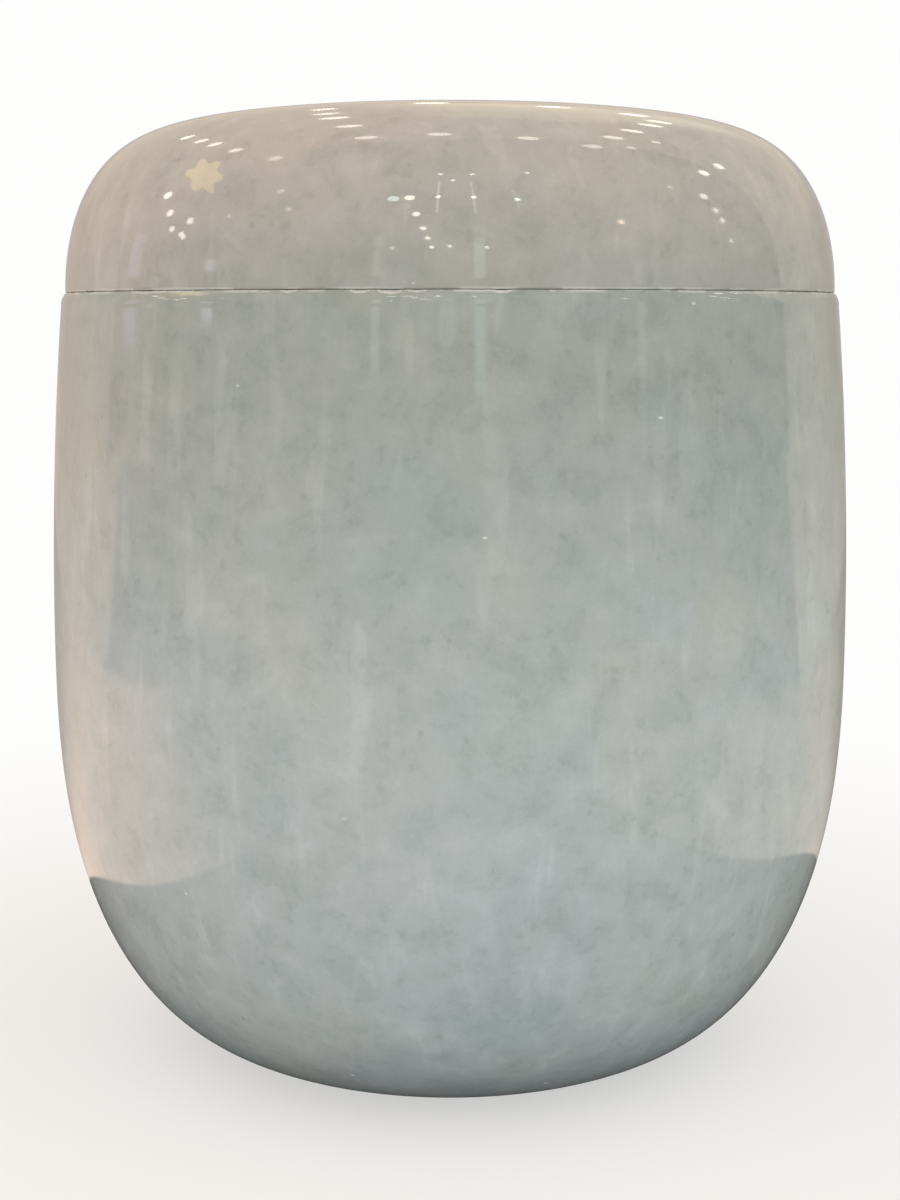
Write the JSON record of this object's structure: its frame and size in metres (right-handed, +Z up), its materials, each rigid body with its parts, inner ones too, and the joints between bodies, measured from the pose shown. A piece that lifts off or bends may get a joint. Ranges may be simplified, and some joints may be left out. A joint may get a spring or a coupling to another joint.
{
  "type": "cremation urn",
  "caption": "Round polished stone urn: a barrel-sided body with a full rounded bottom, hollow inside, under a low domed lid that lifts off.",
  "frame": {"origin": "centre of the underside, on the urn's own axis", "axes": "+Z up along the axis of revolution; +X and +Y level, +X to the right when the urn is seen from the front"},
  "size_m": [0.226, 0.226, 0.2636],
  "materials": {
    "body_stone": "polished",
    "lid_stone": "polished"
  },
  "bodies": {
    "root": {"urn_body": "body_stone", "urn_lid": "lid_stone"}
  },
  "joints": []
}
